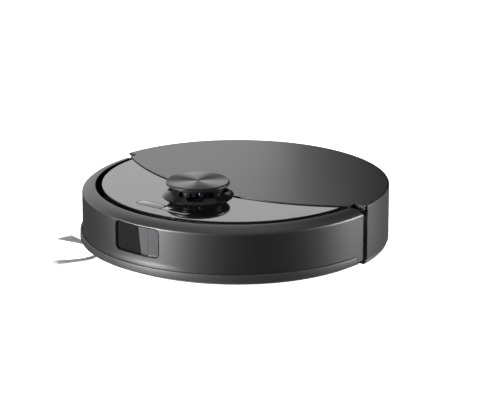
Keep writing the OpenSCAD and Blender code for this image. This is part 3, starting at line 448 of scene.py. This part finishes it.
def bumper_angles():
    """Where the section is placed, in degrees, closer together where the ends are rounded."""
    fine = 0.25
    fine_rows = 12
    fine_part = fine * fine_rows
    rows = 240
    angles = [-BUMPER_END + fine * i for i in range(fine_rows)]
    angles += [-BUMPER_END + fine_part + 2 * (BUMPER_END - fine_part) * i / rows for i in range(rows + 1)]
    angles += [BUMPER_END - fine * i for i in reversed(range(fine_rows))]
    return angles


def window_cutter(less, corner):
    """A prism through the window's opening, made smaller by less each way."""
    return scratch(*rounded_prism(WINDOW_W - less, WINDOW_H - less, corner, WINDOW_Z, CUT_FROM, 0))


def make_bumper():
    outline = bumper_outline()
    angles = bumper_angles()
    verts = []
    for angle in angles:
        a = math.radians(angle)
        from_end = math.radians(BUMPER_END - abs(angle)) * BUMPER_R
        top = BUMPER_TOP
        if from_end < END_ROUND:
            top += math.sqrt(END_ROUND ** 2 - (END_ROUND - from_end) ** 2) - END_ROUND
        for r, z in outline:
            if r > BUMPER_R - 1 * MM:
                r += sill(angle, z)
            verts.append((r * math.sin(a), BUMPER_Y - r * math.cos(a), min(z, top)))
    faces = tube(len(angles), len(outline))
    obj = piece("bumper_shell", verts, faces, "bumper_plastic", "bumper", ["bumper"], 40)
    carve(obj, window_cutter(0, WINDOW_CORNER), sharp=40)


def make_lip():
    """Soft lip with rounded edges and slanted ends."""
    top = lip_hi.z
    low = lip_lo.z
    reach = 2.9 * MM
    end = 88.8               # degrees from straight ahead
    slant_from = 78
    slant = 0.5
    low_edge = 0.8 * MM
    top_edge = 0.7 * MM
    out = BUMPER_R + reach
    inner = BUMPER_R + 0.1 * MM
    outline = [(inner, low)] + arc(out - low_edge, low + low_edge, low_edge, -90, 0, 4)
    outline += arc(out - top_edge, top - top_edge, top_edge, 0, 90, 5)
    outline += [(inner + 0.9 * MM, top - 0.1 * MM), (inner + 0.3 * MM, top - 0.5 * MM),
                (inner, top - 1 * MM)]
    verts, faces = lathe(outline, (0, BUMPER_Y), 240, -end, 2 * end)
    centre = Vector((0, BUMPER_Y, 0))
    slanted = []
    for x, y, z in verts:
        angle = math.degrees(math.atan2(abs(x), BUMPER_Y - y))
        lean = ease(angle, slant_from, end) * (z - low) * slant
        turn = math.copysign(lean / BUMPER_R, -x)
        slanted.append(Matrix.Rotation(turn, 3, "Z") @ (Vector((x, y, z)) - centre) + centre)
    piece("lip_band", slanted, faces, "lip_rubber", "bumper", ["bumper_lip"], 50)


def window_band(inner, outer):
    """An upright band round the front between two radii, taller and wider than the window."""
    low = WINDOW_Z - WINDOW_H
    high = WINDOW_Z + WINDOW_H
    outline = [(inner, low), (outer, low), (outer, high), (inner, high)]
    return lathe(outline, (0, BUMPER_Y), 60, -15, 30)


def make_window():
    """Black lined recess, then the glass plate with two fine joints in it."""
    lining = 1.3 * MM
    lining_depth = 7 * MM
    glass_depth = 2.5 * MM
    glass_t = 2.5 * MM
    gap = 0.25 * MM
    corner = WINDOW_CORNER - lining
    ring = window_band(BUMPER_R - lining_depth, BUMPER_R - 0.35 * MM)
    lined = piece("window_lining", *ring, "black_gloss", "bumper", ["window_frame"])
    carve(lined, window_cutter(0.2 * MM, WINDOW_CORNER), "INTERSECT")
    carve(lined, window_cutter(2 * lining, corner))

    face = BUMPER_R - glass_depth
    plate = window_band(face - glass_t, face)
    glass = piece("window_plate", *plate, "window_glass", "bumper", ["window_glass"])
    carve(glass, window_cutter(2 * (lining + gap), corner), "INTERSECT")
    joint = 0.35 * MM
    for x in (-15 * MM, 15 * MM):
        y = BUMPER_Y - math.sqrt(face ** 2 - x ** 2)
        groove = rounded_prism(joint, WINDOW_H + 2 * MM, joint * 0.4, WINDOW_Z, y - 2 * MM, y + joint, 2, x)
        carve(glass, scratch(*groove))


# ---------- turret ----------

SLOT_ROUND = 2.6 * MM


def make_cap():
    """Bevelled disc with a shallow dimple."""
    top = cap_hi.z
    low = cap_lo.z
    low_edge = 0.8 * MM
    bevel = 1.5 * MM
    bevel_edge = 0.3 * MM
    dimple_r = 2.2 * MM
    dimple_floor = top - 0.4 * MM
    outline = [(0, low), (CAP_R - low_edge, low)]
    outline += arc(CAP_R - low_edge, low + low_edge, low_edge, -90, 0, 4)[1:]
    outline += [(CAP_R, top - bevel - 0.2 * MM)]
    outline += arc(CAP_R - bevel_edge, top - bevel, bevel_edge, 0, 45, 3)
    outline += arc(CAP_R - bevel, top - bevel_edge, bevel_edge, 45, 90, 3)
    outline += [(dimple_r + 1 * MM, top), (dimple_r + 0.6 * MM, top - 0.12 * MM),
                (dimple_r, dimple_floor), (0, dimple_floor)]
    piece("cap_disc", *lathe(outline, (0, TURRET_Y), 160), "cap_metal", "robot", ["turret_cap"], 25)


def make_flare(rim):
    """Black skirt that widens from the turret's rim down to the panel."""
    foot = skirt_hi.x
    inner = 30 * MM
    low = PANEL_TOP + 0.6 * MM
    rise = skirt_hi.z - PANEL_TOP - 0.6 * MM
    steps = 12
    outline = [(inner, skirt_lo.z), (foot, skirt_lo.z), (foot, PANEL_TOP + 0.35 * MM)]
    outline += [(rim + (foot - rim) * (1 - i / steps) ** 1.15, low + rise * i / steps)
                for i in range(steps + 1)]
    outline += [(inner, skirt_hi.z)]
    turned = lathe(outline, (0, TURRET_Y), 160)
    return piece("turret_flare", *turned, "black_gloss", "robot", ["turret_skirt"], 40)


def make_guard(rim):
    """Thin ring between the skirt and the cap."""
    inner = 31.2 * MM
    outer = rim - 0.2 * MM
    low = skirt_hi.z - 0.2 * MM
    high = cap_lo.z + 0.1 * MM
    turned = lathe([(inner, low), (outer, low), (outer, high), (inner, high)], (0, TURRET_Y), 160)
    return piece("turret_guard", *turned, "black_gloss", "robot", ["turret_posts"], 40)


def make_turret():
    """Cap, skirt and guard ring, with four slots through which the sensor looks out."""
    make_cap()
    rim = CAP_R - 2.2 * MM
    flare = make_flare(rim)
    cage = make_guard(rim)
    high = cap_lo.z - 1.3 * MM
    slots = ((cage, 38 * MM, PANEL_TOP + 5.2 * MM), (flare, 20 * MM, PANEL_TOP + 3 * MM))
    for turn in (0, 90, 180, 270):
        heading = math.radians(VIEW_ANGLE + turn - 4)
        spin = Matrix.Translation((0, TURRET_Y, 0)) @ Matrix.Rotation(heading, 4, "Z")
        for obj, width, low in slots:
            corner = min(SLOT_ROUND, (high - low) / 2.2)
            verts, faces = rounded_prism(width, high - low, corner, (low + high) / 2, -50 * MM, -20 * MM)
            carve(obj, scratch([spin @ Vector(v) for v in verts], faces), sharp=40)


# ---------- side brush ----------

BRUSH_PIVOT = Vector((-99 * MM, -111.5 * MM, 0))
BUNDLE_START = 9 * MM
BUNDLE_END = 79 * MM
ROOT_HALF = 2.0 * MM     # half the width of a bundle where it starts
BRISTLES = 84            # in each bundle
# heading and sideways bend in degrees, length as a share, and half the width at the tip
BUNDLES = ((171, 2, 1, 11.5 * MM), (290, 39, 0.845, 7.5 * MM), (48, 22, 0.95, 10.5 * MM))


def bristles(heading, bend, length, tip_half, count, rng):
    """Thin tapered filaments that fan out, droop towards the floor and bend sideways."""
    verts, faces = [], []
    steps, sides = 9, 3
    reach = BUNDLE_END * length
    for k in range(count):
        place = (k + 0.5) / count * 2 - 1 + rng.uniform(-0.4, 0.4) / count
        lift = rng.uniform(-0.5, 0.5) * MM
        short = rng.uniform(0.985, 1.0)
        faces += tube(steps + 1, sides, len(verts))
        for i in range(steps + 1):
            t = i / steps
            r = BUNDLE_START + (reach * short - BUNDLE_START) * t
            a = math.radians(heading - bend * t * t * (3 - 2 * t))
            along = Vector((math.cos(a), math.sin(a), 0))
            across = Vector((-math.sin(a), math.cos(a), 0))
            half = ROOT_HALF + (tip_half - ROOT_HALF) * t ** 1.6
            centre = BRUSH_PIVOT + along * r + across * (half * place)
            centre.z = (6.3 - 4.4 * t) * MM + lift * (1 - t * 0.6)
            thick = (0.42 - 0.22 * t) * MM
            for s in range(sides):
                b = math.tau * s / sides
                verts.append(centre + across * (math.cos(b) * thick) + Vector((0, 0, math.sin(b) * thick)))
    return verts, faces


def make_side_brush():
    rng = random.Random(5)
    verts, faces = [], []
    for bundle in BUNDLES:
        join(verts, faces, *bristles(*bundle, BRISTLES, rng))
    piece("side_bristles", verts, faces, "bristle", "side_brush", ["side_brush_bundles"], 180)


# ---------- buttons ----------

def make_button(name, body, side):
    """Half of the pill, with softened edges and a fine gap all round, and the stem below it."""
    lo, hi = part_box(body)
    gap = 0.3 * MM
    half_w = (hi.y - lo.y) / 2 - gap
    y = (lo.y + hi.y) / 2
    end = max(abs(lo.x), abs(hi.x)) - gap - half_w
    split = min(abs(lo.x), abs(hi.x)) + 0.1 * MM
    top = hi.z
    underside = top - 1.1 * MM
    edge = 0.35 * MM
    levels = [(underside, 0)]
    for degrees in (0, 30, 60, 90):
        t = math.radians(degrees)
        levels.append((top - edge + edge * math.sin(t), edge * (1 - math.cos(t))))
    verts = []
    for z, inset in levels:
        ring = [(split + inset, -half_w + inset)] + arc(end, 0, half_w - inset, -90, 90, 20)
        ring += [(split + inset, half_w - inset)]
        verts += [(side * px, y + py, z) for px, py in ring]
    faces = tube(len(levels), len(ring))
    faces[-1] = tuple(reversed(faces[-1]))       # the top starts at the corner beside the split
    stem_r = 4 * MM
    stem_x = side * (end + half_w) / 2
    stem_top = underside + 0.3 * MM
    stem = [(0, lo.z), (stem_r, lo.z), (stem_r, stem_top), (0, stem_top)]
    join(verts, faces, *lathe(stem, (stem_x, y), 32))
    piece(name, verts, faces, "panel_gloss", body, [body], 20)


# ---------- main brush ----------

def make_brush_fins():
    """Six rubber fins on a sleeve, which twist from both ends towards the middle."""
    lo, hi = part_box("main_brush_fins")
    fins = 6
    twist = 26               # degrees from the middle to each end
    steps, sides = 48, 48
    half_t = 1.2 * MM
    tip_half = half_t * 0.7
    reach = (hi.z - lo.z) / 2 - 0.4 * MM
    shoulder = reach - 0.5 * MM
    root = reach - 9.5 * MM
    sleeve = root + 1.5 * MM
    section = ((root, -half_t), (shoulder, -tip_half), (reach, 0), (shoulder, tip_half), (root, half_t))
    axis = Vector((0, (lo.y + hi.y) / 2, (lo.z + hi.z) / 2))
    along = [lo.x + (hi.x - lo.x) * i / steps for i in range(steps + 1)]
    verts = []
    for x in along:
        for k in range(sides):
            a = math.tau * k / sides
            verts.append(axis + Vector((x, sleeve * math.cos(a), sleeve * math.sin(a))))
    faces = tube(steps + 1, sides)
    for fin in range(fins):
        faces += tube(steps + 1, len(section), len(verts))
        for i, x in enumerate(along):
            turn = math.radians(360 / fins * fin + twist * abs(2 * i / steps - 1))
            out = Vector((0, math.cos(turn), math.sin(turn)))
            side = Vector((0, -math.sin(turn), math.cos(turn)))
            verts += [axis + Vector((x, 0, 0)) + out * r + side * w for r, w in section]
    piece("twisted_fins", verts, faces, "brush_rubber", "main_brush", ["main_brush_fins"], 40)


make_brush_fins()
make_button("button_face_left", "button_left", 1)
make_button("button_face_right", "button_right", -1)
make_bumper()
make_lip()
make_window()
make_turret()
make_side_brush()


# ---------- camera, floor and light ----------

def look(obj, place, target):
    obj.location = place
    obj.rotation_euler = (Vector(target) - Vector(place)).to_track_quat("-Z", "Y").to_euler()


def make_camera():
    eye = Vector((1.7507, -2.1812, 0.9148))
    pitch = math.radians(17.052)
    ahead = Vector((-math.sin(HEADING) * math.cos(pitch), math.cos(HEADING) * math.cos(pitch),
                    -math.sin(pitch)))
    data = bpy.data.cameras.new("camera")
    data.lens = 185.4
    data.sensor_width = 36
    data.clip_start = 0.05
    data.clip_end = 50
    camera = bpy.data.objects.new("camera", data)
    bpy.context.scene.collection.objects.link(camera)
    look(camera, eye, eye + ahead)
    bpy.context.scene.camera = camera


def make_floor():
    """Plain pale paper that glows a little, and that glossy surfaces don't mirror."""
    mesh = bpy.data.meshes.new("floor")
    half = 12
    corners = [(-half, -half, 0), (half, -half, 0), (half, half, 0), (-half, half, 0)]
    mesh.from_pydata(corners, [], [(0, 1, 2, 3)])
    floor = bpy.data.objects.new("floor", mesh)
    bpy.context.scene.collection.objects.link(floor)
    mat, skin = material("floor_paper")
    skin.inputs["Base Color"].default_value = (0.93, 0.93, 0.93, 1)
    skin.inputs["Roughness"].default_value = 0.9
    skin.inputs["Specular IOR Level"].default_value = 0.1
    skin.inputs["Emission Color"].default_value = (1, 1, 1, 1)
    skin.inputs["Emission Strength"].default_value = 0.85
    mesh.materials.append(mat)
    floor.visible_glossy = False


def soft_box(name, power, size, place, target):
    """A rectangular light of a size in metres, aimed at a target and unseen by the camera."""
    data = bpy.data.lights.new(name, "AREA")
    data.shape = "RECTANGLE"
    data.size, data.size_y = size
    data.energy = power
    light = bpy.data.objects.new(name, data)
    bpy.context.scene.collection.objects.link(light)
    look(light, place, target)
    light.visible_camera = False


def around(angle, distance, height):
    """A place at an angle from straight ahead, in degrees towards +X."""
    a = math.radians(angle)
    return (distance * math.sin(a), -distance * math.cos(a), height)


def card(left, right, low, high):
    """An upright glowing card behind the robot, square to the view, from left to right across it."""
    radiance = 1.6
    behind = 0.75
    across = Vector((math.cos(HEADING), math.sin(HEADING), 0))
    away = Vector((-math.sin(HEADING), math.cos(HEADING), 0))
    centre = away * behind + across * (left + right) / 2
    centre.z = (low + high) / 2
    size = (right - left, high - low)
    soft_box("card", radiance * math.pi * size[0] * size[1], size, centre, centre - away)


def make_lights():
    """Cards behind the robot for the flat tops, low boxes at the front for the bumper, and a soft top."""
    world = bpy.data.worlds.new("studio")
    bpy.context.scene.world = world
    world.use_nodes = True
    world.node_tree.nodes["Background"].inputs["Color"].default_value = (0.9, 0.95, 1, 1)
    world.node_tree.nodes["Background"].inputs["Strength"].default_value = 0.04

    card_edge = 0.075        # where the panel's and the lid's reflections start to fade
    card(-2.3, card_edge, 0.05, 1.45)
    card(card_edge, 0.18, 0.295, 0.36)
    aim = (0, 0, 0.1)
    soft_box("top", 28, (2.5, 2.5), (0, 0, 2.4), (0, 0, 0))
    soft_box("front_sky", 4.5, (3, 1), around(VIEW_ANGLE, 1.6, 0.85), aim)
    soft_box("front_left", 84, (0.45, 0.4), around(-20, 1.5, 0.2), aim)
    soft_box("front_right", 54, (0.5, 0.4), around(128, 1.5, 0.2), aim)


make_camera()
make_floor()
make_lights()
bpy.context.scene.view_settings.view_transform = "Standard"
